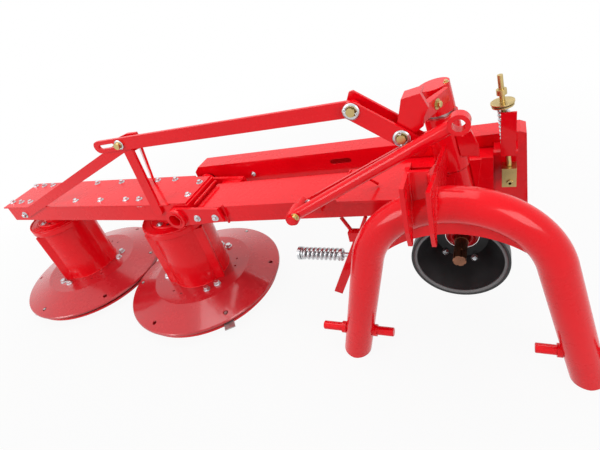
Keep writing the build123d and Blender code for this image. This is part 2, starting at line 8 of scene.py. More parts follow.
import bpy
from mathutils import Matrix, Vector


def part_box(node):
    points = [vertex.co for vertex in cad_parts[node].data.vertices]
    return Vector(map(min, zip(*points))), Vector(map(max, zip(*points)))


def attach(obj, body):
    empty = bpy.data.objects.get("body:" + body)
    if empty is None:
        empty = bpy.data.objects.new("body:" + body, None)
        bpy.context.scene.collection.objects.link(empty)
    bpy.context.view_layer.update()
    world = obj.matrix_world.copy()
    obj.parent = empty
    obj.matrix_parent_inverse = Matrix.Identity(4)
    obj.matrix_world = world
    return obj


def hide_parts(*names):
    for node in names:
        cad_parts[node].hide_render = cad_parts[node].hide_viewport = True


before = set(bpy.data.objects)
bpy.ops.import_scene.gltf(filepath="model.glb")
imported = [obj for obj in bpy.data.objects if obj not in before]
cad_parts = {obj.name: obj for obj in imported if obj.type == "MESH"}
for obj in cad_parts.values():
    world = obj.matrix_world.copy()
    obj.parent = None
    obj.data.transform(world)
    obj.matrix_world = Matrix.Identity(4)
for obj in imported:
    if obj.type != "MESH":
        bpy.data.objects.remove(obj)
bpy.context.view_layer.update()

# %% [markdown]
# ## Libraries
# The next cell imports what the cells below use.

# %% Libraries
import bpy
import math
from mathutils import Matrix, Vector

# %% [markdown]
# ## Where things are
# A fitter measures a machine from one point that a tape can reach, and this file does the same.
# Every place is given from the floor under the middle of the inner drum: X runs towards the
# hitch, Y away from the tractor, Z up. The point is read from the inner disc's own box, so the
# places stay right wherever the CAD model stands.

# %% The inner drum's axis
disc_low, disc_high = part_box("disc_inner")
INNER_X = (disc_low.x + disc_high.x) / 2
INNER_Y = (disc_low.y + disc_high.y) / 2
DRUM_PITCH = 0.675
DRUM_X = {"inner": 0.0, "outer": -DRUM_PITCH}


def spot(x, y, z):
    """A point given from the floor under the inner drum."""
    return Vector((INNER_X + x, INNER_Y + y, z))


print("inner drum axis at x =", round(INNER_X, 4))

# %% [markdown]
# ## The camera
# The camera was fitted to the two discs, which are circles of one size a known distance apart, so
# their ellipses fix the lens, the height and the tilt together. A hand-placed camera would have
# to be nudged for every edge. It stands in front and to the right and looks down on the machine.

# %% Camera
CAMERA_AT = spot(1.16601, -1.09538, 1.17804)
CAMERA_RIGHT = Vector((0.90838155, 0.33530673, -0.24982467))
CAMERA_UP = Vector((-0.00613528, 0.60808701, 0.79384668))
CAMERA_BACK = Vector((0.41809727, -0.71958293, 0.55443222))
SENSOR_WIDTH = 36.0
FOCAL_PIXELS = 433.0
IMAGE_WIDTH = 600
CLIP_NEAR, CLIP_FAR = 0.05, 500

lens = bpy.data.cameras.new("camera")
lens.sensor_width = SENSOR_WIDTH
lens.lens = FOCAL_PIXELS / IMAGE_WIDTH * SENSOR_WIDTH
lens.clip_start = CLIP_NEAR
lens.clip_end = CLIP_FAR
camera = bpy.data.objects.new("camera", lens)
turn = Matrix((CAMERA_RIGHT, CAMERA_UP, CAMERA_BACK)).transposed()
camera.matrix_world = Matrix.Translation(CAMERA_AT) @ turn.to_4x4()
bpy.context.scene.collection.objects.link(camera)
bpy.context.scene.camera = camera
bpy.context.scene.view_settings.view_transform = "Standard"
print("lens", round(lens.lens, 2), "mm")

# %% [markdown]
# ## Helpers for materials
# Every finish below is a tree of nodes built by the script, so that each can be read and changed
# as text. Three short functions take the typing out of it: an empty material, a node with its
# settings, and a link between two sockets.

# %% Helpers for materials


def new_material(name):
    """An empty material with nodes, and its tree."""
    material = bpy.data.materials.new(name)
    material.use_nodes = True
    material.node_tree.nodes.clear()
    return material, material.node_tree


def add(tree, kind, **settings):
    """Add a node to a tree, with its settings or its inputs' values."""
    made = tree.nodes.new(kind)
    for key, value in settings.items():
        if hasattr(made, key):
            setattr(made, key, value)
        else:
            made.inputs[key.replace("_", " ")].default_value = value
    return made


def link(tree, source, target):
    """Join two sockets."""
    tree.links.new(source, target)


def seen_or_mirrored(tree):
    """1 for camera, glossy and transmission rays, 0 for the rays that light the object."""
    path = add(tree, "ShaderNodeLightPath")
    glossy = add(tree, "ShaderNodeMath", operation="MAXIMUM")
    every = add(tree, "ShaderNodeMath", operation="MAXIMUM")
    link(tree, path.outputs["Is Camera Ray"], glossy.inputs[0])
    link(tree, path.outputs["Is Glossy Ray"], glossy.inputs[1])
    link(tree, glossy.outputs[0], every.inputs[0])
    link(tree, path.outputs["Is Transmission Ray"], every.inputs[1])
    return every.outputs[0]


# %% [markdown]
# ## World
# The machine stands on plain white. A stronger lamp could bleach a grey background, but it would
# bleach the paint too. So the world has two strengths: pure white for what the camera and the
# reflections see, which also gives the pale sheen on the paint's upward faces, and a weaker one
# for the light that falls on the object.

# %% World
WHITE = (1, 1, 1, 1)
WORLD_LIGHT = 0.34
WORLD_TINT = (1, 0.99, 0.98, 1)
world = bpy.data.worlds.new("white_room")
bpy.context.scene.world = world
world.use_nodes = True
sky = world.node_tree
sky.nodes.clear()
shown = add(sky, "ShaderNodeBackground", Color=WHITE, Strength=1.0)
lighting = add(sky, "ShaderNodeBackground", Color=WORLD_TINT, Strength=WORLD_LIGHT)
choose = add(sky, "ShaderNodeMixShader")
link(sky, seen_or_mirrored(sky), choose.inputs[0])
link(sky, lighting.outputs[0], choose.inputs[1])
link(sky, shown.outputs[0], choose.inputs[2])
link(sky, choose.outputs[0], add(sky, "ShaderNodeOutputWorld").inputs[0])
print("world lights the object at", WORLD_LIGHT)

# %% [markdown]
# ## Floor
# The floor has to vanish into the background and still carry a faint shadow. It is a grey chalk
# that throws little light back up, mixed with a white of its own in what the camera sees. The
# share of white rises with the distance from the machine until nothing else is left, so no
# horizon shows.

# %% Floor
FLOOR_HALF = 150.0
CHALK = (0.5, 0.5, 0.5, 1)
FLOOR_GLOW = 0.93
GLOW_NEAR, GLOW_FAR = 1.0, 2.4
CORNERS = [(-FLOOR_HALF, -FLOOR_HALF, 0), (FLOOR_HALF, -FLOOR_HALF, 0),
           (FLOOR_HALF, FLOOR_HALF, 0), (-FLOOR_HALF, FLOOR_HALF, 0)]
floor_mesh = bpy.data.meshes.new("floor")
floor_mesh.from_pydata(CORNERS, [], [(0, 1, 2, 3)])
floor = bpy.data.objects.new("floor", floor_mesh)
bpy.context.scene.collection.objects.link(floor)
floor_paint, tree = new_material("pale_floor")
chalk = add(tree, "ShaderNodeBsdfDiffuse", Color=CHALK)
glow = add(tree, "ShaderNodeEmission", Color=WHITE, Strength=1.0)
share = add(tree, "ShaderNodeMath", operation="MULTIPLY")
away = add(tree, "ShaderNodeVectorMath", operation="LENGTH")
whiter = add(tree, "ShaderNodeMapRange", From_Min=GLOW_NEAR, From_Max=GLOW_FAR, To_Min=FLOOR_GLOW,
             To_Max=1.0)
blend = add(tree, "ShaderNodeMixShader")
link(tree, add(tree, "ShaderNodeTexCoord").outputs["Object"], away.inputs[0])
link(tree, away.outputs["Value"], whiter.inputs["Value"])
link(tree, whiter.outputs[0], share.inputs[1])
link(tree, seen_or_mirrored(tree), share.inputs[0])
link(tree, share.outputs[0], blend.inputs[0])
link(tree, chalk.outputs[0], blend.inputs[1])
link(tree, glow.outputs[0], blend.inputs[2])
link(tree, blend.outputs[0], add(tree, "ShaderNodeOutputMaterial").inputs[0])
floor.data.materials.append(floor_paint)
print("floor is white from", GLOW_FAR, "m outwards")

# %% [markdown]
# ## Lamps
# Three soft lamps light it: a wide one overhead, which draws the pale lines along the tubes and
# the beams, and one on each side in front, so that no front face goes black. Area lamps were
# chosen over the sun lamp because their size is what makes a shadow soft.

# %% Lamps
# Each lamp: name, place, what it aims at, width in metres, power in watts
LAMPS = [("overhead", (0.2, 0.6, 3.4), (0.2, 0.0, 0.3), 3.2, 84.0),
         ("front_left", (-2.2, -2.6, 1.9), (0.0, 0.0, 0.3), 1.8, 58.0),
         ("front_right", (2.8, -1.8, 1.6), (0.6, 0.0, 0.4), 1.4, 34.0)]
for name, at, aim, width, power in LAMPS:
    lamp = bpy.data.lights.new(name, "AREA")
    lamp.size = width
    lamp.energy = power
    holder = bpy.data.objects.new(name, lamp)
    holder.location = at
    holder.rotation_euler = (Vector(aim) - Vector(at)).to_track_quat("-Z", "Y").to_euler()
    bpy.context.scene.collection.objects.link(holder)
print(len(LAMPS), "lamps")

# %% [markdown]
# ## Effects that several finishes share
# Three effects come back in every finish here, so each is a node group with named inputs: a slow
# drift of tone, wear on sharp edges, and the fine waviness that paint, plating and castings all
# have at their own scales. The groups put out only colours, masks and heights.

# %% A group starts with its sockets


def new_group(name, inputs, outputs):
    """A shader node group; inputs are (name, type, value), outputs are (name, type)."""
    group = bpy.data.node_groups.new(name, "ShaderNodeTree")
    for label, kind, value in inputs:
        socket = group.interface.new_socket(label, in_out="INPUT", socket_type="NodeSocket" + kind)
        socket.default_value = value
    for label, kind in outputs:
        group.interface.new_socket(label, in_out="OUTPUT", socket_type="NodeSocket" + kind)
    return group, group.nodes.new("NodeGroupInput"), group.nodes.new("NodeGroupOutput")


def coords(tree):
    """The Object coordinates that every pattern here reads."""
    return add(tree, "ShaderNodeTexCoord").outputs["Object"]


# %% [markdown]
# No sprayed or plated face is one flat colour. A broad noise and a finer one are mixed and
# darken the colour by no more than the depth asked for. The same mask also drives the roughness
# later, because a duller patch is usually a slightly darker one.

# %% Drift of tone
FINER_BY = 9.0
FINE_SHARE = 0.35
tone, given, out = new_group("tone_drift",
                             [("Color", "Color", WHITE), ("Depth", "Float", 0.1), ("Scale", "Float", 6.0)],
                             [("Color", "Color"), ("Mask", "Float")])
broad = add(tone, "ShaderNodeTexNoise", Detail=3.0, Roughness=0.55)
fine = add(tone, "ShaderNodeTexNoise", Detail=4.0, Roughness=0.6)
finer = add(tone, "ShaderNodeMath", operation="MULTIPLY")
finer.inputs[1].default_value = FINER_BY
both = add(tone, "ShaderNodeMix", data_type="FLOAT")
both.inputs[0].default_value = FINE_SHARE
spread = add(tone, "ShaderNodeMapRange", From_Min=0.3, From_Max=0.7)
least = add(tone, "ShaderNodeMath", operation="SUBTRACT")
least.inputs[0].default_value = 1.0
level = add(tone, "ShaderNodeMath", operation="MULTIPLY_ADD")
shade = add(tone, "ShaderNodeVectorMath", operation="SCALE")
link(tone, coords(tone), broad.inputs["Vector"])
link(tone, coords(tone), fine.inputs["Vector"])
link(tone, given.outputs["Scale"], broad.inputs["Scale"])
link(tone, given.outputs["Scale"], finer.inputs[0])
link(tone, finer.outputs[0], fine.inputs["Scale"])
link(tone, broad.outputs[0], both.inputs[2])
link(tone, fine.outputs[0], both.inputs[3])
link(tone, both.outputs[0], spread.inputs["Value"])
link(tone, given.outputs["Depth"], least.inputs[1])
link(tone, spread.outputs[0], level.inputs[0])
link(tone, given.outputs["Depth"], level.inputs[1])
link(tone, least.outputs[0], level.inputs[2])
link(tone, given.outputs["Color"], shade.inputs[0])
link(tone, level.outputs[0], shade.inputs["Scale"])
link(tone, shade.outputs[0], out.inputs["Color"])
link(tone, spread.outputs[0], out.inputs["Mask"])
print("tone drift has", len(tone.nodes), "nodes")

# %% [markdown]
# Paint goes first where two faces meet. The Bevel node looks a little way round each point, and
# where its rounded normal leaves the flat one, an edge is near. A noise breaks that line into
# chips, as scrapes do, instead of drawing an even border.

# %% Wear on edges
BEVEL_SAMPLES = 6
wear, given, out = new_group("edge_wear",
                             [("Radius", "Float", 0.002), ("Amount", "Float", 0.5), ("Scale", "Float", 60.0)],
                             [("Mask", "Float")])
rounded = add(wear, "ShaderNodeBevel", samples=BEVEL_SAMPLES)
flat = add(wear, "ShaderNodeNewGeometry")
alike = add(wear, "ShaderNodeVectorMath", operation="DOT_PRODUCT")
edge = add(wear, "ShaderNodeMapRange", From_Min=0.995, From_Max=0.90)
chips = add(wear, "ShaderNodeTexNoise", Detail=6.0, Roughness=0.7)
threshold = add(wear, "ShaderNodeMapRange", From_Min=0.52, From_Max=0.62)
worn = add(wear, "ShaderNodeMath", operation="MULTIPLY")
amount = add(wear, "ShaderNodeMath", operation="MULTIPLY", use_clamp=True)
link(wear, given.outputs["Radius"], rounded.inputs["Radius"])
link(wear, rounded.outputs[0], alike.inputs[0])
link(wear, flat.outputs["Normal"], alike.inputs[1])
link(wear, alike.outputs["Value"], edge.inputs["Value"])
link(wear, coords(wear), chips.inputs["Vector"])
link(wear, given.outputs["Scale"], chips.inputs["Scale"])
link(wear, chips.outputs[0], threshold.inputs["Value"])
link(wear, edge.outputs[0], worn.inputs[0])
link(wear, threshold.outputs[0], worn.inputs[1])
link(wear, worn.outputs[0], amount.inputs[0])
link(wear, given.outputs["Amount"], amount.inputs[1])
link(wear, amount.outputs[0], out.inputs["Mask"])
print("edge wear has", len(wear.nodes), "nodes")

# %% [markdown]
# Thick spray paint lies in slow waves with a finer orange peel on top, and plating and castings
# have the same two layers at other sizes. Two noises added together give the height for a Bump
# node, which costs nothing in triangles.

# %% Fine waviness of a surface
SLOW_WAVE_HEIGHT = 2.5
ripple, given, out = new_group("fine_ripple", [("Scale", "Float", 220.0), ("Long Scale", "Float", 14.0)],
                               [("Height", "Float")])
small = add(ripple, "ShaderNodeTexNoise", Detail=2.0, Roughness=0.5)
slow = add(ripple, "ShaderNodeTexNoise", Detail=1.0, Roughness=0.5)
sum_up = add(ripple, "ShaderNodeMath", operation="MULTIPLY_ADD")
sum_up.inputs[1].default_value = SLOW_WAVE_HEIGHT
link(ripple, coords(ripple), small.inputs["Vector"])
link(ripple, coords(ripple), slow.inputs["Vector"])
link(ripple, given.outputs["Scale"], small.inputs["Scale"])
link(ripple, given.outputs["Long Scale"], slow.inputs["Scale"])
link(ripple, slow.outputs[0], sum_up.inputs[0])
link(ripple, small.outputs[0], sum_up.inputs[2])
link(ripple, sum_up.outputs[0], out.inputs["Height"])
print("groups:", [g.name for g in (tone, wear, ripple)])

# %% [markdown]
# ## Finishes
# One maker's function builds all of them, because each is the same stack: a base colour that
# drifts, a second colour where edges have worn through, a roughness that follows the drift, and
# a small bump over rounded edges. What differs is a row of named values for each finish.

# %% The stack of one finish
CHIP_SCALE = 70.0
SLOW_WAVE_SCALE = 14.0
WEAR_PAST_EDGE = 1.3
BUMP_DEPTH = 0.0006
LACQUER_ROUGHNESS = 0.08


def use_group(tree, group, **values):
    """Place a node group in a material with its own values."""
    made = add(tree, "ShaderNodeGroup", node_tree=group)
    for label, value in values.items():
        made.inputs[label.replace("_", " ")].default_value = value
    return made


def finish(name, colour, worn, metal, rough, drift, chipping, bump, shine=0.5, scale=6.0, grain=220.0,
           round_edge=0.0015, lacquer=0.0):
    """A layered finish: drifting colour, worn edges and a fine bump over rounded edges."""
    material, tree = new_material(name)
    colours = use_group(tree, tone, Color=(*colour, 1), Depth=drift, Scale=scale)
    edges = use_group(tree, wear, Radius=round_edge * WEAR_PAST_EDGE, Amount=chipping, Scale=CHIP_SCALE)
    waves = use_group(tree, ripple, Scale=grain, Long_Scale=SLOW_WAVE_SCALE)
    mix = add(tree, "ShaderNodeMix", data_type="RGBA")
    mix.inputs[7].default_value = (*worn, 1)
    dull = add(tree, "ShaderNodeMapRange", To_Min=rough[0], To_Max=rough[1])
    soft = add(tree, "ShaderNodeBevel", samples=BEVEL_SAMPLES, Radius=round_edge)
    lift = add(tree, "ShaderNodeBump", Strength=bump, Distance=BUMP_DEPTH)
    skin = add(tree, "ShaderNodeBsdfPrincipled", Metallic=metal, Specular_IOR_Level=shine,
               Coat_Weight=lacquer, Coat_Roughness=LACQUER_ROUGHNESS)
    link(tree, edges.outputs["Mask"], mix.inputs[0])
    link(tree, colours.outputs["Color"], mix.inputs[6])
    link(tree, mix.outputs[2], skin.inputs["Base Color"])
    link(tree, colours.outputs["Mask"], dull.inputs["Value"])
    link(tree, dull.outputs[0], skin.inputs["Roughness"])
    link(tree, waves.outputs["Height"], lift.inputs["Height"])
    link(tree, soft.outputs[0], lift.inputs["Normal"])
    link(tree, lift.outputs[0], skin.inputs["Normal"])
    link(tree, skin.outputs[0], add(tree, "ShaderNodeOutputMaterial").inputs[0])
    return material


# %% [markdown]
# The machine is sprayed in one bright red under a thin lacquer. Straight on, the red stays pure, so its own
# shine is low, and the lacquer brings the white sheen that top faces show at a low angle. The discs are the
# same red, but their copy is darker, which is painted shade, and glossier, so they have a finish of their
# own.

# %% Painted finishes
PAINT = finish("red_paint", colour=(0.86, 0.001, 0.008), worn=(0.45, 0.01, 0.015), metal=0.0,
               rough=(0.22, 0.32), drift=0.10, chipping=0.35, bump=0.12, shine=0.12, round_edge=0.0022,
               lacquer=0.35)
# The discs' darker red is painted shade on the same paint as the rest.
SHADED_DISC_PAINT = finish("scuffed_disc_paint", colour=(0.58, 0.014, 0.022), worn=(0.30, 0.03, 0.03), metal=0.0,
                    rough=(0.16, 0.34), drift=0.16, chipping=0.5, bump=0.14, shine=0.45, round_edge=0.0022,
                    lacquer=0.5)
print("painted finishes:", PAINT.name, SHADED_DISC_PAINT.name)

# %% [markdown]
# Bolts, washers and springs are zinc plated, the linkage pins and the tensioner are zinc with a
# yellow passivation, knives and the post are ground steel, and the drive shaft is brown with oil.
# All of these are metals, so their colour tints the reflection and the base stays fairly light.

# %% Metal finishes
ZINC = finish("bright_zinc", colour=(0.66, 0.68, 0.70), worn=(0.45, 0.44, 0.42), metal=1.0,
              rough=(0.22, 0.42), drift=0.22, chipping=0.5, bump=0.15, scale=40.0, grain=600.0,
              round_edge=0.0007)
YELLOW_ZINC = finish("yellow_zinc", colour=(0.62, 0.47, 0.20), worn=(0.50, 0.46, 0.40), metal=1.0,
                     rough=(0.26, 0.44), drift=0.25, chipping=0.5, bump=0.15, scale=45.0, grain=600.0,
                     round_edge=0.0007)
GROUND = finish("ground_steel", colour=(0.52, 0.52, 0.51), worn=(0.30, 0.26, 0.22), metal=1.0,
                rough=(0.28, 0.5), drift=0.3, chipping=0.5, bump=0.2, scale=30.0, grain=500.0,
                round_edge=0.0006)
SHAFT = finish("oiled_shaft", colour=(0.30, 0.13, 0.075), worn=(0.20, 0.09, 0.05), metal=0.85,
               rough=(0.24, 0.48), drift=0.5, chipping=0.6, bump=0.2, scale=40.0, grain=500.0,
               round_edge=0.0007)
print("metal finishes:", [m.name for m in (ZINC, YELLOW_ZINC, GROUND, SHAFT)])

# %% [markdown]
# The bowl round the drive shaft is black moulded plastic with a greyer lip, and the pulleys are
# raw castings. Neither mirrors much, so their roughness is high and their bump coarser.

# %% Plastic and cast finishes
PLASTIC = finish("black_plastic", colour=(0.014, 0.014, 0.015), worn=(0.05, 0.05, 0.05), metal=0.0,
                 rough=(0.36, 0.5), drift=0.3, chipping=0.5, bump=0.18, scale=25.0, grain=900.0)
CAST = finish("dark_cast", colour=(0.035, 0.035, 0.038), worn=(0.10, 0.10, 0.10), metal=0.3,
              rough=(0.5, 0.7), drift=0.4, chipping=0.5, bump=0.6, scale=25.0, grain=320.0,
              round_edge=0.001)
LIP_GREY = finish("grey_lip", colour=(0.17, 0.17, 0.175), worn=(0.3, 0.3, 0.3), metal=0.0,
                  rough=(0.35, 0.5), drift=0.3, chipping=0.4, bump=0.2, scale=25.0, grain=900.0)
print("other finishes:", [m.name for m in (PLASTIC, CAST, LIP_GREY)])

# %% [markdown]
# ## Painting the CAD model
# Nearly all of the machine was sprayed after it was welded, so red is the rule and the short
# list below is the exceptions. Only the material slots change, and no CAD mesh is touched.

# %% Finishes on the CAD nodes
NODES_BY_FINISH = [
    (SHAFT, ("input_shaft",)),
    (PLASTIC, ("shaft_guard",)),
    (CAST, ("drive_pulley", "driven_pulley")),
    (SHADED_DISC_PAINT, ("disc_inner", "disc_outer")),
    (GROUND, ("knives_inner", "knives_outer", "pivot_shaft")),
    (ZINC, ("release_rod",)),
    (YELLOW_ZINC, ("tensioner_rod", "tensioner_clevis", "lever_pivot_pin", "lever_tip_pin", "apex_pin",
                   "tilt_pin")),
]
finish_of = {name: material for material, names in NODES_BY_FINISH for name in names}
for name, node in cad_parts.items():
    coat = finish_of.get(name, PAINT)
    for slot in node.material_slots:
        slot.material = coat
    if not node.material_slots:
        node.data.materials.append(coat)
print("painted", sum(1 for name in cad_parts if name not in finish_of), "nodes red")

# %% [markdown]
# ## Trees that grow small parts
# Nearly every loose detail on a farm machine is one small form, repeated. A point cloud says
# where each one sits, which way it looks and how large it is, and a Geometry Nodes tree puts the
# same form on every point. The result is made real mesh, because instances are lost when the
# model is exported.

# %% Helpers for geometry trees


def new_tree(name, sizes):
    """A geometry tree with a mesh input, named float inputs and a material input."""
    group = bpy.data.node_groups.new(name, "GeometryNodeTree")
    group.interface.new_socket("Geometry", in_out="INPUT", socket_type="NodeSocketGeometry")
    for label, value in sizes:
        socket = group.interface.new_socket(label, in_out="INPUT", socket_type="NodeSocketFloat")
        socket.default_value = value
    group.interface.new_socket("Material", in_out="INPUT", socket_type="NodeSocketMaterial")
    group.interface.new_socket("Geometry", in_out="OUTPUT", socket_type="NodeSocketGeometry")
    return group, group.nodes.new("NodeGroupInput"), group.nodes.new("NodeGroupOutput")


def named(tree, name, kind):
    """Read an attribute of the points."""
    reader = add(tree, "GeometryNodeInputNamedAttribute", data_type=kind)
    reader.inputs["Name"].default_value = name
    return reader.outputs["Attribute"]


def on_points(tree, points, form, rotation):
    """Put a form on every point, turned, and scaled by the point's size."""
    place = add(tree, "GeometryNodeInstanceOnPoints")
    link(tree, points, place.inputs["Points"])
    link(tree, form, place.inputs["Instance"])
    link(tree, rotation, place.inputs["Rotation"])
    link(tree, named(tree, "size", "FLOAT"), place.inputs["Scale"])
    return place.outputs[0]


def facing(tree):
    """The rotation that turns Z to the way each point looks."""
    align = add(tree, "FunctionNodeAlignRotationToVector", axis="Z")
    link(tree, named(tree, "facing", "FLOAT_VECTOR"), align.inputs["Vector"])
    return align.outputs[0]


def end_tree(tree, shape, given, out):
    """Make a tree's shape real mesh, give it the material and put it out."""
    real = add(tree, "GeometryNodeRealizeInstances")
    dress = add(tree, "GeometryNodeSetMaterial")
    link(tree, shape, real.inputs[0])
    link(tree, real.outputs[0], dress.inputs[0])
    link(tree, given.outputs["Material"], dress.inputs["Material"])
    link(tree, dress.outputs[0], out.inputs[0])
    print(tree.name, "has", len(tree.nodes), "nodes")


# %% [markdown]
# A tree works on a mesh through a modifier. The modifier's inputs go by their identifiers, not
# their names, and are set before the object is first looked at. The evaluated result becomes a
# plain mesh on a new object, and the seed goes, with its modifier.

# %% From points to a finished piece


def grown(name, mesh, tree, material, body, slot, **sizes):
    """Run a geometry tree on a mesh and keep the result as a plain piece that rides on a body."""
    seed = bpy.data.objects.new(name + "_points", mesh)
    bpy.context.scene.collection.objects.link(seed)
    modifier = seed.modifiers.new("grow", "NODES")
    modifier.node_group = tree
    for item in tree.interface.items_tree:
        if item.in_out != "INPUT":
            continue
        if item.name == "Material":
            modifier[item.identifier] = material
        elif item.name.replace(" ", "_") in sizes:
            modifier[item.identifier] = sizes[item.name.replace(" ", "_")]
    bpy.context.view_layer.update()
    shaped = seed.evaluated_get(bpy.context.evaluated_depsgraph_get())
    made = bpy.data.meshes.new_from_object(shaped)
    made.name = name
    piece = bpy.data.objects.new(name, made)
    bpy.context.scene.collection.objects.link(piece)
    bpy.data.objects.remove(seed)
    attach(piece, body)
    print(name, "has", sum(len(p.vertices) - 2 for p in made.polygons), "triangles on", body)
    return piece


def cloud(rows):
    """A mesh of loose points from (place, direction, size) rows."""
    mesh = bpy.data.meshes.new("cloud")
    mesh.from_pydata([tuple(place) for place, _, _ in rows], [], [])
    mesh.attributes.new("facing", "FLOAT_VECTOR", "POINT")
    mesh.attributes.new("size", "FLOAT", "POINT")
    for i, (_, direction, width) in enumerate(rows):
        mesh.attributes["facing"].data[i].vector = Vector(direction).normalized()
        mesh.attributes["size"].data[i].value = width
    return mesh


# %% [markdown]
# ## Hexagon heads
# A bolt head is a hexagon with a slightly smaller crown on a round washer. A modelled bolt could
# be copied by hand, but one tree with its sizes as inputs serves the thin heads on the discs as
# well as the tall ones on the beam. Each head is turned by chance, as a fitter leaves them.

# %% Prisms, and moving them up


def stem(tree, sides, radius, height, top_share=1.0):
    """A short prism or cone that stands on z = 0; sizes may be numbers or sockets."""
    cone = add(tree, "GeometryNodeMeshCone", fill_type="NGON", Vertices=sides)
    for label, value in (("Radius Bottom", radius), ("Depth", height)):
        if isinstance(value, float):
            cone.inputs[label].default_value = value
        else:
            link(tree, value, cone.inputs[label])
    if isinstance(radius, float):
        cone.inputs["Radius Top"].default_value = radius * top_share
    else:
        link(tree, radius, cone.inputs["Radius Top"])
    return cone.outputs["Mesh"]


def lifted(tree, mesh, height):
    """Move a mesh up by the value of a socket."""
    move = add(tree, "GeometryNodeTransform")
    join = add(tree, "ShaderNodeCombineXYZ")
    link(tree, mesh, move.inputs["Geometry"])
    link(tree, height, join.inputs["Z"])
    link(tree, join.outputs[0], move.inputs["Translation"])
    return move.outputs[0]


# %% [markdown]
# The tree stacks a washer, the hexagon and its crown at the origin, joins them, and sets one such
# bolt on every point. Sizes are shares of the bolt's own size, which each point brings along.

# %% The tree of hexagon heads on washers
HEX_SIDES, HEAD_RADIUS = 6, 0.58
CROWN_HEIGHT, CROWN_TOP = 0.06, 0.84
WASHER_SIDES = 24
TURN_SEED = 4
hexes, given, out = new_tree("hex_heads",
                             [("Head Height", 0.62), ("Washer Radius", 0.95), ("Washer Height", 0.12)])
head = lifted(hexes, stem(hexes, HEX_SIDES, HEAD_RADIUS, given.outputs["Head Height"]),
              given.outputs["Washer Height"])
above = add(hexes, "ShaderNodeMath", operation="ADD")
link(hexes, given.outputs["Head Height"], above.inputs[0])
link(hexes, given.outputs["Washer Height"], above.inputs[1])
crown = lifted(hexes, stem(hexes, HEX_SIDES, HEAD_RADIUS, CROWN_HEIGHT, CROWN_TOP), above.outputs[0])
washer = stem(hexes, WASHER_SIDES, given.outputs["Washer Radius"], given.outputs["Washer Height"])
bolt = add(hexes, "GeometryNodeJoinGeometry")
for form in (head, crown, washer):
    link(hexes, form, bolt.inputs[0])
spin = add(hexes, "FunctionNodeRandomValue", data_type="FLOAT", Seed=TURN_SEED)
spin.inputs[3].default_value = math.tau
spin_axis = add(hexes, "FunctionNodeAxisAngleToRotation", Axis=(0, 0, 1))
turned = add(hexes, "FunctionNodeRotateRotation", rotation_space="LOCAL")
link(hexes, spin.outputs[1], spin_axis.inputs["Angle"])
link(hexes, facing(hexes), turned.inputs[0])
link(hexes, spin_axis.outputs[0], turned.inputs[1])
heads = on_points(hexes, given.outputs["Geometry"], bolt.outputs[0], turned.outputs[0])
end_tree(hexes, heads, given, out)

# %% [markdown]
# ## Bolts of the cutter beam
# The cover over the gear train is held by two rows of plated bolts. They aren't evenly spaced, so
# their places along the beam are written out, as read off the photograph with the fitted camera,
# and their height is the cover's own top face.

# %% Cover bolts
UP, FRONT, BACK = (0, 0, 1), (0, -1, 0), (0, 1, 0)
cover_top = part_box("cover_plate")[1].z
FRONT_ROW_Y = -0.064
REAR_ROW_Y = 0.070
FRONT_ROW_X = (-0.822, -0.762, -0.702, -0.415, -0.273, -0.137, -0.069)
REAR_ROW_X = (-0.822, -0.762, -0.702, -0.415, -0.273, -0.076, 0.012)
END_PAIR_X = 0.147
END_PAIR_Y = (-0.043, 0.041)
COVER_BOLT = 0.0135
rows = [(spot(x, FRONT_ROW_Y, cover_top), UP, COVER_BOLT) for x in FRONT_ROW_X]
rows += [(spot(x, REAR_ROW_Y, cover_top), UP, COVER_BOLT) for x in REAR_ROW_X]
rows += [(spot(END_PAIR_X, y, cover_top), UP, COVER_BOLT) for y in END_PAIR_Y]
grown("cover_bolts", cloud(rows), hexes, ZINC, "cutter_unit", "zinc_steel")

# %% [markdown]
# ## Bolts of the discs
# Each disc is bolted to its drum by three pairs of large flat heads, one pair inboard of each
# knife. They lie on a circle, so a loop turns one pair through thirds of a round, and the two
# drums differ only in where the first knife stands.

# %% Disc bolts
FIRST_KNIFE = {"inner": -43.0, "outer": 22.0}
KNIVES = 3
PAIR_APART = 8.5
DISC_BOLT_R = 0.156
DISC_BOLT = 0.021
disc_top = disc_high.z
for side, x in DRUM_X.items():
    rows = []
    for knife in range(KNIVES):
        for aside in (-PAIR_APART, PAIR_APART):
            angle = math.radians(FIRST_KNIFE[side] + 360 / KNIVES * knife + aside)
            seat = spot(x + DISC_BOLT_R * math.cos(angle), DISC_BOLT_R * math.sin(angle), disc_top)
            rows.append((seat, UP, DISC_BOLT))
    grown(f"disc_bolts_{side}", cloud(rows), hexes, ZINC, f"drum_{side}", "zinc_steel",
          Washer_Radius=0.72, Head_Height=0.5)

# %% [markdown]
# ## Bolts on upright faces
# The hinge arms, the stays and the flat link's foot are held by bolts that look towards the
# tractor or away from it. They share one table, and a loop over the bodies makes one mesh for
# each body, so that every bolt moves with what it holds.

# %% Heads on upright faces
ARM_FRONT, ARM_REAR = -0.1122, 0.102
LINK_FRONT, STAY_FRONT, BEAM_FRONT = -0.120, -0.105, -0.095
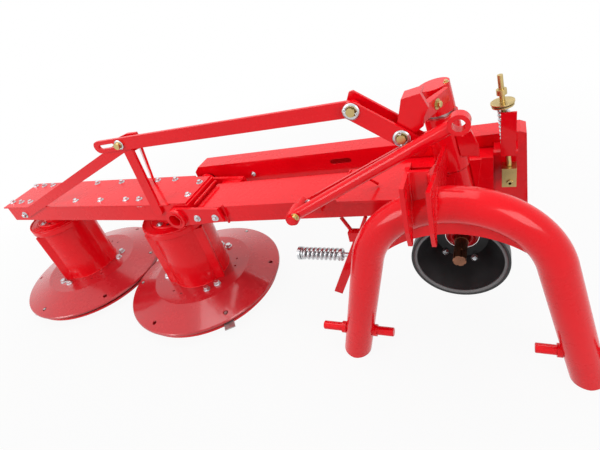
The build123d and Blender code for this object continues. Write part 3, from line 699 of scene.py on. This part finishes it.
# Each row: body, x, y, z, direction, width across
SIDE_BOLTS = [
    ("main_beam", 0.208, ARM_FRONT, 0.4475, FRONT, 0.014),
    ("main_beam", 0.284, ARM_FRONT, 0.4497, FRONT, 0.014),
    ("main_beam", 0.208, ARM_REAR, 0.450, BACK, 0.014),
    ("main_beam", 0.284, ARM_REAR, 0.452, BACK, 0.014),
    ("flat_link", 0.653, LINK_FRONT, 0.507, FRONT, 0.016),
    ("cutter_unit", -0.722, STAY_FRONT, 0.462, FRONT, 0.016),
    ("cutter_unit", -0.041, BEAM_FRONT, 0.493, FRONT, 0.006),
    ("cutter_unit", -0.055, BEAM_FRONT, 0.493, FRONT, 0.006),
]
for body in ("main_beam", "flat_link", "cutter_unit"):
    rows = [(spot(x, y, z), way, width) for on, x, y, z, way, width in SIDE_BOLTS if on == body]
    grown(f"side_bolts_{body}", cloud(rows), hexes, ZINC, body, "zinc_steel")

# %% [markdown]
# ## Bolts on leaning faces
# The cap on the swinging post and the bowl of the shaft guard have two bolts each, on faces that
# lean, and the belt guard and the transport rod's foot have one each in front. The same tree
# serves them all, because each point carries the direction of its own face.

# %% Bolts of the pivot cap, the guards and the transport rod's foot
# Each row: place on the face, direction of the face, width across
PIVOT_CAP_BOLTS = [(spot(1.0289, -0.0643, 0.7517), (0.93, -0.38, 0), 0.014),
                   (spot(1.0430, 0.0215, 0.7712), (-0.16, 0, 0.99), 0.008)]
GUARD_BOLTS = [(spot(1.0224, -0.0805, 0.3012), (0.62, -0.38, 0.69), 0.011),
               (spot(1.1018, -0.0873, 0.2875), (-0.40, -0.38, 0.83), 0.011),
               (spot(0.3222, 0.1400, 0.4679), FRONT, 0.010)]
FOOT_NUT = [(spot(0.6309, -0.1880, 0.5079), FRONT, 0.013)]
grown("pivot_cap_bolt", cloud(PIVOT_CAP_BOLTS), hexes, YELLOW_ZINC, "swing_head", "yellow_zinc")
grown("guard_bolts", cloud(GUARD_BOLTS), hexes, ZINC, "main_beam", "zinc_steel")
grown("foot_nut", cloud(FOOT_NUT), hexes, YELLOW_ZINC, "transport_rod", "yellow_zinc",
      Washer_Height=0.06, Head_Height=0.4)

# %% [markdown]
# ## Bolts of the drum caps
# The cap over each drum's bearing has a small flat bolt on a broad washer in front of its neck.

# %% Cap bolts
CAP_DECK_Z = 0.392
CAP_BOLT_X, CAP_BOLT_Y = -0.018, -0.078
CAP_BOLT = 0.012
rows = [(spot(x + CAP_BOLT_X, CAP_BOLT_Y, CAP_DECK_Z), UP, CAP_BOLT) for x in DRUM_X.values()]
grown("cap_bolts", cloud(rows), hexes, ZINC, "cutter_unit", "zinc_steel", Washer_Radius=1.15,
      Head_Height=0.45)

# %% [markdown]
# ## Springs
# Two compression springs are plain tubes in the CAD model. A Screw modifier could wind them too,
# but a spiral curve with a round wire along it has its turns, length and wire as inputs. Each
# end has a closed turn, as ground springs do. The spring keeps its tube's own length and outer
# size, so it stands for it exactly.

# %% The tree that winds a spring
STEPS_A_TURN = 28
WIRE_SIDES = 12
coil, given, out = new_tree("wound_spring", [("Outer Radius", 0.02), ("Length", 0.15), ("Turns", 12.0),
                                             ("Wire", 0.003)])
middle = add(coil, "ShaderNodeMath", operation="SUBTRACT")
spiral = add(coil, "GeometryNodeCurveSpiral", Resolution=STEPS_A_TURN)
end_turn = add(coil, "GeometryNodeCurvePrimitiveCircle")
far_turn = add(coil, "GeometryNodeTransform")
far = add(coil, "ShaderNodeCombineXYZ")
turns = add(coil, "GeometryNodeJoinGeometry")
wire = add(coil, "GeometryNodeCurvePrimitiveCircle", Resolution=WIRE_SIDES)
swept = add(coil, "GeometryNodeCurveToMesh", Fill_Caps=True)
link(coil, given.outputs["Outer Radius"], middle.inputs[0])
link(coil, given.outputs["Wire"], middle.inputs[1])
link(coil, given.outputs["Turns"], spiral.inputs["Rotations"])
link(coil, middle.outputs[0], spiral.inputs["Start Radius"])
link(coil, middle.outputs[0], spiral.inputs["End Radius"])
link(coil, middle.outputs[0], end_turn.inputs["Radius"])
link(coil, given.outputs["Length"], spiral.inputs["Height"])
link(coil, given.outputs["Length"], far.inputs["Z"])
link(coil, end_turn.outputs[0], far_turn.inputs["Geometry"])
link(coil, far.outputs[0], far_turn.inputs["Translation"])
for curve in (spiral, end_turn, far_turn):
    link(coil, curve.outputs[0], turns.inputs[0])
link(coil, given.outputs["Wire"], wire.inputs["Radius"])
link(coil, turns.outputs[0], swept.inputs["Curve"])
link(coil, wire.outputs[0], swept.inputs["Profile Curve"])
end_tree(coil, swept.outputs[0], given, out)

# %% [markdown]
# The break-away spring lies level under the main beam, with thick wire in few turns, and the
# tensioner's spring stands on its leaning rod behind the belt guard's end.

# %% The two springs
BREAK_AWAY_ENDS = spot(0.549, -0.075, 0.270), spot(0.698, -0.075, 0.270)
TENS_FOOT, TENS_TOP = spot(1.190, 0.100, 0.478), spot(1.165, 0.100, 0.744)
TENS_SPRING_FROM, TENS_SPRING_TO = 0.2218, 0.6805
tens_ends = [TENS_FOOT.lerp(TENS_TOP, share) for share in (TENS_SPRING_FROM, TENS_SPRING_TO)]


def wind(name, node, ends, outer, turn_count, wire_radius, body):
    """Wind a spring between two points, and let it stand for a CAD node."""
    start, end = ends
    run = end - start
    piece = grown(name, bpy.data.meshes.new("empty"), coil, ZINC, body, "zinc_steel", Outer_Radius=outer,
                  Length=run.length - 2 * wire_radius, Turns=turn_count, Wire=wire_radius)
    lean = run.to_track_quat("Z", "Y").to_matrix().to_4x4()
    piece.data.transform(Matrix.Translation(start) @ lean @ Matrix.Translation((0, 0, wire_radius)))
    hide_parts(node)


wind("break_away_coil", "release_spring", BREAK_AWAY_ENDS, outer=0.022, turn_count=9.0,
     wire_radius=0.0044, body="main_beam")
wind("tensioner_coil", "tensioner_spring", tens_ends, outer=0.016, turn_count=10.0,
     wire_radius=0.0031, body="main_beam")

# %% [markdown]
# ## Washers and rings
# A washer is a flat ring, and so are the lip of the shaft guard and the collar round the shaft.
# A square section swept round a circle makes all of them, with the hole and the thickness as
# shares of the outer radius.

# %% The tree of washers
RING_STEPS = 48
rings, given, out = new_tree("washers", [("Hole", 0.55), ("Thickness", 0.14)])
middle = add(rings, "ShaderNodeMath", operation="MULTIPLY_ADD")
middle.inputs[1].default_value = 0.5
middle.inputs[2].default_value = 0.5
breadth = add(rings, "ShaderNodeMath", operation="SUBTRACT")
breadth.inputs[0].default_value = 1.0
half = add(rings, "ShaderNodeMath", operation="MULTIPLY")
half.inputs[1].default_value = 0.5
round_path = add(rings, "GeometryNodeCurvePrimitiveCircle", Resolution=RING_STEPS)
section = add(rings, "GeometryNodeCurvePrimitiveQuadrilateral")
ring = add(rings, "GeometryNodeCurveToMesh")
link(rings, given.outputs["Hole"], middle.inputs[0])
link(rings, given.outputs["Hole"], breadth.inputs[1])
link(rings, given.outputs["Thickness"], half.inputs[0])
link(rings, middle.outputs[0], round_path.inputs["Radius"])
link(rings, breadth.outputs[0], section.inputs["Width"])
link(rings, given.outputs["Thickness"], section.inputs["Height"])
link(rings, round_path.outputs[0], ring.inputs["Curve"])
link(rings, section.outputs[0], ring.inputs["Profile Curve"])
standing = lifted(rings, ring.outputs[0], half.outputs[0])
end_tree(rings, on_points(rings, given.outputs["Geometry"], standing, facing(rings)), given, out)

# %% [markdown]
# ## Bent wire
# A split pin is one piece of wire with an eye and two legs, bent apart behind its pin. It is
# drawn as chains of edges, which a short tree turns into curves and sweeps with a round section.
# The same chains serve as the seams of the weld beads further down.

# %% The tree that sweeps a wire
SPLIT_PIN_SIDES = 10
wires, given, out = new_tree("bent_wire", [("Wire", 0.0015)])
path = add(wires, "GeometryNodeMeshToCurve")
wire = add(wires, "GeometryNodeCurvePrimitiveCircle", Resolution=SPLIT_PIN_SIDES)
swept = add(wires, "GeometryNodeCurveToMesh", Fill_Caps=True)
link(wires, given.outputs["Geometry"], path.inputs[0])
link(wires, path.outputs[0], swept.inputs["Curve"])
link(wires, given.outputs["Wire"], wire.inputs["Radius"])
link(wires, wire.outputs[0], swept.inputs["Profile Curve"])
end_tree(wires, swept.outputs[0], given, out)

# %% [markdown]
# The eye of a split pin is a circle of short steps, and its legs start together at the eye, run
# through the pin's hole and part. One leg is a little longer, so that a tool can grip it.

# %% Chains of edges, and the path of a split pin
EYE_R, EYE_STEPS = 0.004, 12
SHORT_LEG_PAST, SHORT_LEG_OUT = 0.004, 0.005
LONG_LEG_STRAIGHT, LONG_LEG_PAST, LONG_LEG_OUT = 0.001, 0.003, 0.007


def seams(paths):
    """One mesh of edge chains, one chain for each path."""
    mesh = bpy.data.meshes.new("seams")
    points, edges = [], []
    for chain in paths:
        first = len(points)
        points += [tuple(p) for p in chain]
        edges += [(i, i + 1) for i in range(first, len(points) - 1)]
    mesh.from_pydata(points, edges, [])
    return mesh


def split_pin(middle, along, across, reach):
    """A split pin through a round pin: an eye at one end, two legs bent apart at the other."""
    along, across = Vector(along).normalized(), Vector(across).normalized()
    start = middle - along * reach
    eye = [middle - along * (reach + EYE_R - EYE_R * math.cos(turn)) + across * EYE_R * math.sin(turn)
           for turn in [math.tau * i / EYE_STEPS for i in range(EYE_STEPS + 1)]]
    short_leg = [start, middle + along * reach,
                 middle + along * (reach + SHORT_LEG_PAST) + across * SHORT_LEG_OUT]
    long_leg = [start, middle + along * (reach + LONG_LEG_STRAIGHT),
                middle + along * (reach + LONG_LEG_PAST) - across * LONG_LEG_OUT]
    return [eye, short_leg, long_leg]


# %% [markdown]
# ## Rings of the shaft guard, and painted shade on the drum caps
# The mouth of the black bowl has a greyer lip just inside its rim, and the housing's red collar shows round
# the shaft at its bottom. A small black disc beside the bolt on each drum cap is painted shade, put where a
# dark opening shows.

# %% Rings, and black discs of painted shade
SHAFT_X, SHAFT_Z = 1.070, 0.355
LIP_Y, LIP_R = -0.1815, 0.1185
COLLAR_Y, COLLAR_R = -0.0705, 0.036
SHADE_DISC_X, SHADE_DISC_Y, SHADE_DISC_R = 0.020, -0.077, 0.0055
grown("guard_lip", cloud([(spot(SHAFT_X, LIP_Y, SHAFT_Z), BACK, LIP_R)]), rings, LIP_GREY, "main_beam",
      "black_plastic", Hole=0.93, Thickness=0.05)
grown("shaft_collar", cloud([(spot(SHAFT_X, COLLAR_Y, SHAFT_Z), FRONT, COLLAR_R)]), rings, PAINT,
      "main_beam", "red_paint", Hole=0.58, Thickness=0.3)
# Black discs on the drum caps: painted shade for a dark opening, not a part.
rows = [(spot(x + SHADE_DISC_X, SHADE_DISC_Y, CAP_DECK_Z), UP, SHADE_DISC_R) for x in DRUM_X.values()]
grown("cap_plugs", cloud(rows), rings, PLASTIC, "cutter_unit", "black_plastic", Hole=0.3, Thickness=0.15)

# %% [markdown]
# ## Washers and split pins of the linkage
# The lever of the lifting linkage turns on two plain pins. Each ends in a broad plated washer on
# either side and a split pin in front, and the long bar's apex pin has a single washer. Each
# split pin is turned a little its own way, as a hand leaves it.

# %% Washers and split pins
LEVER_FRONT, LEVER_REAR, APEX_FRONT = -0.135, -0.097, -0.1225
LEVER_TIP, LEVER_PIVOT, APEX = (0.839, 0.785), (0.951, 0.704), (0.043, 0.752)
LINK_WASHER, APEX_WASHER = 0.0215, 0.017
SPLIT_PIN_Y = LEVER_FRONT - 0.0065
SPLIT_PIN_REACH, SPLIT_PIN_WIRE = 0.0125, 0.0013
# Each row: pin, the way the split pin points, the way its legs part
SPLIT_PINS = [(LEVER_TIP, (1, 0, -0.35), (0.35, 0, 1)), (LEVER_PIVOT, (0.15, 0, -1), (1, 0, 0.15))]
rows = [(spot(x, y, z), way, LINK_WASHER) for x, z in (LEVER_TIP, LEVER_PIVOT)
        for y, way in ((LEVER_FRONT, FRONT), (LEVER_REAR, BACK))]
grown("lever_washers", cloud(rows), rings, ZINC, "lever", "zinc_steel")
apex_row = (spot(APEX[0], APEX_FRONT, APEX[1]), FRONT, APEX_WASHER)
grown("apex_washer", cloud([apex_row]), rings, ZINC, "long_bar", "zinc_steel")
pin_paths = []
for (x, z), along, across in SPLIT_PINS:
    pin_paths += split_pin(spot(x, SPLIT_PIN_Y, z), along, across, SPLIT_PIN_REACH)
grown("lever_split_pins", seams(pin_paths), wires, ZINC, "lever", "zinc_steel", Wire=SPLIT_PIN_WIRE)

# %% [markdown]
# ## Weld beads
# The arch, its cheeks and the beams are welded, and the light picks out the ripples of each bead.
# A bead could be a smooth tube with a bump, but its outline would stay straight. Here it is a
# row of overlapping drops: a tree walks along each seam and sets a drop at every step, scaled by
# chance from a fixed seed.

# %% The tree that lays a bead
DROP_LEAST, DROP_MOST = 0.78, 1.12
DROP_SEED = 11
bead, given, out = new_tree("weld_bead", [("Step", 0.004), ("Width", 0.0045)])
seam = add(bead, "GeometryNodeMeshToCurve")
walk = add(bead, "GeometryNodeResampleCurve", mode="LENGTH")
drop = add(bead, "GeometryNodeMeshIcoSphere", Radius=1.0, Subdivisions=2)
lay = add(bead, "GeometryNodeInstanceOnPoints")
chance = add(bead, "FunctionNodeRandomValue", data_type="FLOAT", Seed=DROP_SEED)
chance.inputs[2].default_value = DROP_LEAST
chance.inputs[3].default_value = DROP_MOST
drop_size = add(bead, "ShaderNodeMath", operation="MULTIPLY")
link(bead, given.outputs["Geometry"], seam.inputs[0])
link(bead, seam.outputs[0], walk.inputs["Curve"])
link(bead, given.outputs["Step"], walk.inputs["Length"])
link(bead, walk.outputs[0], lay.inputs["Points"])
link(bead, drop.outputs["Mesh"], lay.inputs["Instance"])
link(bead, chance.outputs[1], drop_size.inputs[0])
link(bead, given.outputs["Width"], drop_size.inputs[1])
link(bead, drop_size.outputs[0], lay.inputs["Scale"])
end_tree(bead, lay.outputs[0], given, out)

# %% [markdown]
# Most seams here follow a round part, so one function gives the points of an arc. A seam over a
# tube that leans a little is an ellipse, which a squash of the second axis gives.

# %% Seams that follow a circle


def circle(x, y, z, radius, plane="XY", start=0.0, end=360.0, steps=48, squash=1.0):
    """Points on an arc about (x, y, z), in a plane of two axes."""
    points = []
    for i in range(steps + 1):
        angle = math.radians(start + (end - start) * i / steps)
        point = [x, y, z]
        point["XYZ".index(plane[0])] += radius * math.cos(angle)
        point["XYZ".index(plane[1])] += radius * squash * math.sin(angle)
        points.append(spot(*point))
    return points


# %% [markdown]
# On the hitch frame, a bead runs along both sides of the web where it meets the inside of the
# arch's bend, over the tube at each face of the two cheeks, and down the corners between the
# cheeks and the small panel that joins them.

# %% Beads of the hitch frame
ARCH_X, ARCH_Y, BEND_Z, BEND_R, TUBE_R = 1.064, -0.234, 0.345, 0.232, 0.044
WEB_HALF = 0.0045
WELD_STAND = 0.001
CHEEK_FACES_X = (0.9715, 0.9825, 1.0255, 1.0365)
CHEEK_SQUASH = 1.06
PANEL_Y, PANEL_FOOT_Z = -0.2565, 0.60
# Each corner of the panel: x, top of its bead
PANEL_CORNERS = [(0.9825, 0.678), (1.0255, 0.672)]
frame_seams = [circle(ARCH_X, ARCH_Y + side, BEND_Z, BEND_R - TUBE_R + WELD_STAND, "XZ", 38, 142)
               for side in (-WEB_HALF, WEB_HALF)]
for x in CHEEK_FACES_X:
    crown_z = BEND_Z + math.sqrt(BEND_R ** 2 - (ARCH_X - x) ** 2)
    frame_seams.append(circle(x, ARCH_Y, crown_z, TUBE_R + WELD_STAND, "YZ", 90, 190, squash=CHEEK_SQUASH))
for x, top_z in PANEL_CORNERS:
    frame_seams.append([spot(x, PANEL_Y, PANEL_FOOT_Z), spot(x, PANEL_Y, top_z)])
grown("frame_beads", seams(frame_seams), bead, PAINT, "hitch_frame", "red_paint")

# %% [markdown]
# On the main beam, one bead closes the end of the top plate, one runs up the front where the
# hinge arm meets the beam, and one crosses the beam's outer end.

# %% Beads of the main beam
# Each row: first end, last end
BEAM_SEAMS = [((0.7325, -0.086, 0.5065), (0.7325, 0.066, 0.5065)),
              ((0.3145, -0.0905, 0.416), (0.3145, -0.0905, 0.484)),
              ((0.200, -0.086, 0.4895), (0.200, 0.066, 0.4895))]
beam_seams = [[spot(*first), spot(*last)] for first, last in BEAM_SEAMS]
grown("beam_beads", seams(beam_seams), bead, PAINT, "main_beam", "red_paint")

# %% [markdown]
# On the cutting unit, each cap has a bead round its lip, and each drum one where it stands on its
# disc. The drums turn and the caps don't, so the beads ride on different bodies.

# %% Beads of the cutting unit
CAP_LIP_Z, CAP_LIP_R, CAP_BEAD = 0.384, 0.1335, 0.0038
DRUM_FOOT_R, DRUM_BEAD = 0.1205, 0.0032
cap_seams = [circle(x, 0, CAP_LIP_Z, CAP_LIP_R) for x in DRUM_X.values()]
grown("cutter_beads", seams(cap_seams), bead, PAINT, "cutter_unit", "red_paint", Width=CAP_BEAD)
for side, x in DRUM_X.items():
    foot_seam = [circle(x, 0, disc_top, DRUM_FOOT_R)]
    grown(f"drum_beads_{side}", seams(foot_seam), bead, PAINT, f"drum_{side}", "red_paint", Width=DRUM_BEAD)
